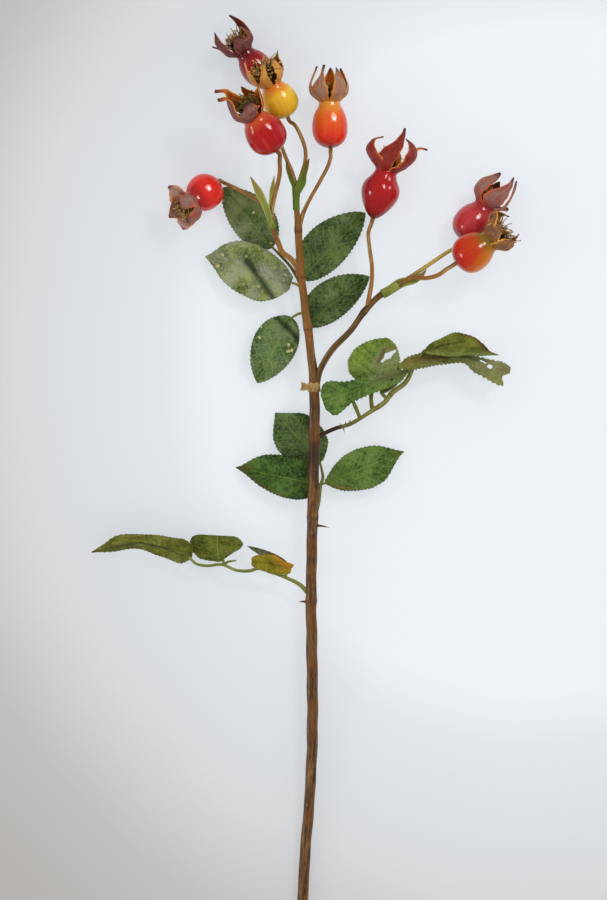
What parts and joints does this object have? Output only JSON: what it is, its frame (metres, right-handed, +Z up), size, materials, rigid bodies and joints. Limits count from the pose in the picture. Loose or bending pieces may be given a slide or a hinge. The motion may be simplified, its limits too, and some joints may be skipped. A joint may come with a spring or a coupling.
{
  "type": "rose hip sprig",
  "caption": "Cut rose hip sprig lying flat: woody stem, glossy ripe hips with dried sepals and stamens on slender stalks, and serrated compound leaves.",
  "frame": {"origin": "middle of the sprig's footprint, on the table it lies on", "axes": "+Y along the stem from the cut end to the hips, +X across the sprig towards the branch that carries the two hips side by side, +Z up off the table"},
  "size_m": [0.2148, 0.446, 0.0492],
  "materials": {
    "bark": "satin, fine lengthwise streaks",
    "twig": "satin",
    "green_twig": "satin",
    "leaf": "matt, veined, serrated edges",
    "leaf_under": "matt, veins raised",
    "leaf_yellow": "matt, fading",
    "bract": "satin",
    "dry_stipule": "matt, papery",
    "sepal": "satin, dried",
    "sepal_yellow": "satin, dried",
    "stamen": "matt, bristly",
    "hip_red": "glossy",
    "hip_crimson": "glossy",
    "hip_yellow": "glossy",
    "hip_orange": "glossy",
    "hip_amber": "glossy"
  },
  "bodies": {
    "root": {"main_stem": "bark", "left_shoot": "twig", "right_shoot": "twig", "hip_back_red": "hip_crimson", "calyx_back_red": "sepal", "stamens_back_red": "stamen", "hip_yellow": "hip_yellow", "calyx_yellow": "sepal_yellow", "stamens_yellow": "stamen", "hip_front_red": "hip_red", "calyx_front_red": "sepal", "stamens_front_red": "stamen", "hip_orange": "hip_orange", "calyx_orange": "sepal", "stamens_orange": "stamen", "hip_left_red": "hip_red", "calyx_left_red": "sepal", "stamens_left_red": "stamen", "hip_crimson": "hip_crimson", "calyx_crimson": "sepal", "stamens_crimson": "stamen", "hip_pink_red": "hip_crimson", "calyx_pink_red": "sepal", "stamens_pink_red": "stamen", "hip_amber": "hip_amber", "calyx_amber": "sepal_yellow", "stamens_amber": "stamen", "stalk_back_red": "twig", "stalk_yellow": "twig", "stalk_front_red": "twig", "stalk_orange": "twig", "stalk_left_red": "twig", "stalk_crimson": "twig", "stalk_amber": "twig", "upper_leaflet_tip": "leaf", "upper_leaflet_far_left": "leaf", "upper_leaflet_near_left": "leaf", "upper_leaflet_far_right": "leaf", "upper_leaflet_near_right": "leaf", "lower_leaflet_tip": "leaf", "lower_leaflet_left": "leaf", "lower_leaflet_right": "leaf", "right_leaflet_round": "leaf", "right_leaflet_front": "leaf", "right_leaflet_small": "leaf", "right_leaflet_far": "leaf_under", "right_leaflet_long": "leaf_under", "left_leaflet_yellow": "leaf_yellow", "left_leaflet_grey": "leaf", "left_leaflet_middle": "leaf_under", "left_leaflet_tip": "leaf_under", "upper_leaf_stalk": "green_twig", "lower_leaf_stalk": "green_twig", "right_leaf_stalk": "green_twig", "left_leaf_stalk": "green_twig", "top_bract": "bract", "left_bract": "bract", "right_bract": "bract", "stem_stipule": "dry_stipule"}
  },
  "joints": []
}
